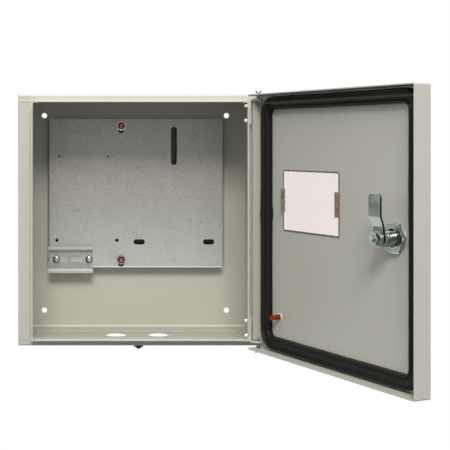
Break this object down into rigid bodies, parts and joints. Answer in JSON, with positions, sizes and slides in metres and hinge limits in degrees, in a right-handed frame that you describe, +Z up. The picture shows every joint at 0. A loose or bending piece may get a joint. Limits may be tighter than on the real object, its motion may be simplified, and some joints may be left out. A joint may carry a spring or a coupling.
{
  "type": "distribution box",
  "caption": "Wall-mounted sheet steel distribution box with a hinged, gasketed and windowed door, a cam lock, a mounting plate and a short rail.",
  "frame": {"origin": "centre of the four wall holes, on the rear face of the back", "axes": "+X right, +Y into the wall, +Z up; the door side faces -Y"},
  "size_m": [0.424, 0.4254, 0.3237],
  "materials": {
    "paint": "fine-textured satin powder coat, warm light grey",
    "galvanised": "galvanised, mottled",
    "zinc": "bluish bright zinc plate",
    "copper": "copper flash",
    "dark_steel": "dark oxide",
    "foam": "satin black foamed seal",
    "pane": "clear polycarbonate under film",
    "sealant": "matt sealant",
    "clip": "smoky moulded plastic",
    "white_ring": "matt"
  },
  "bodies": {
    "enclosure": {"body_wrap": "paint", "body_top": "paint", "body_bottom": "paint", "mounting_plate": "galvanised", "plate_studs": "copper", "plate_spacers": "zinc", "plate_washers": "zinc", "plate_nuts": "zinc", "din_rail": "galvanised", "din_rail_screws": "zinc", "din_rail_nuts": "zinc", "earth_bolt": "dark_steel", "earth_bolt_nuts": "dark_steel", "hinge_bracket_top": "paint", "hinge_bracket_bottom": "paint", "hinge_rivets_top": "paint", "hinge_rivets_bottom": "paint", "hinge_pin_top": "zinc", "hinge_pin_bottom": "zinc"},
    "door": {"door_panel": "paint", "door_gasket": "foam", "window_pane": "pane", "window_clips": "clip", "window_seal": "sealant", "door_earth_stud": "copper", "door_stud_ring": "white_ring", "lock_housing": "zinc", "lock_washer": "zinc", "lock_nut": "zinc"},
    "cam": {"lock_spindle": "zinc", "lock_cam": "zinc", "cam_washer": "zinc", "cam_nut": "zinc"}
  },
  "joints": [
    {"name": "door_hinge", "type": "hinge", "parent": "enclosure", "child": "door", "pos_m": [0.1443, -0.1513, 0], "axis": [0, 0, 1], "range_deg": [-114.28, 5.5]},
    {"name": "lock_turn", "type": "hinge", "parent": "door", "child": "cam", "pos_m": [0.25238, -0.37022, -0.0016], "axis": [0.9115, 0.4112, 0], "range_deg": [0, 90]}
  ]
}
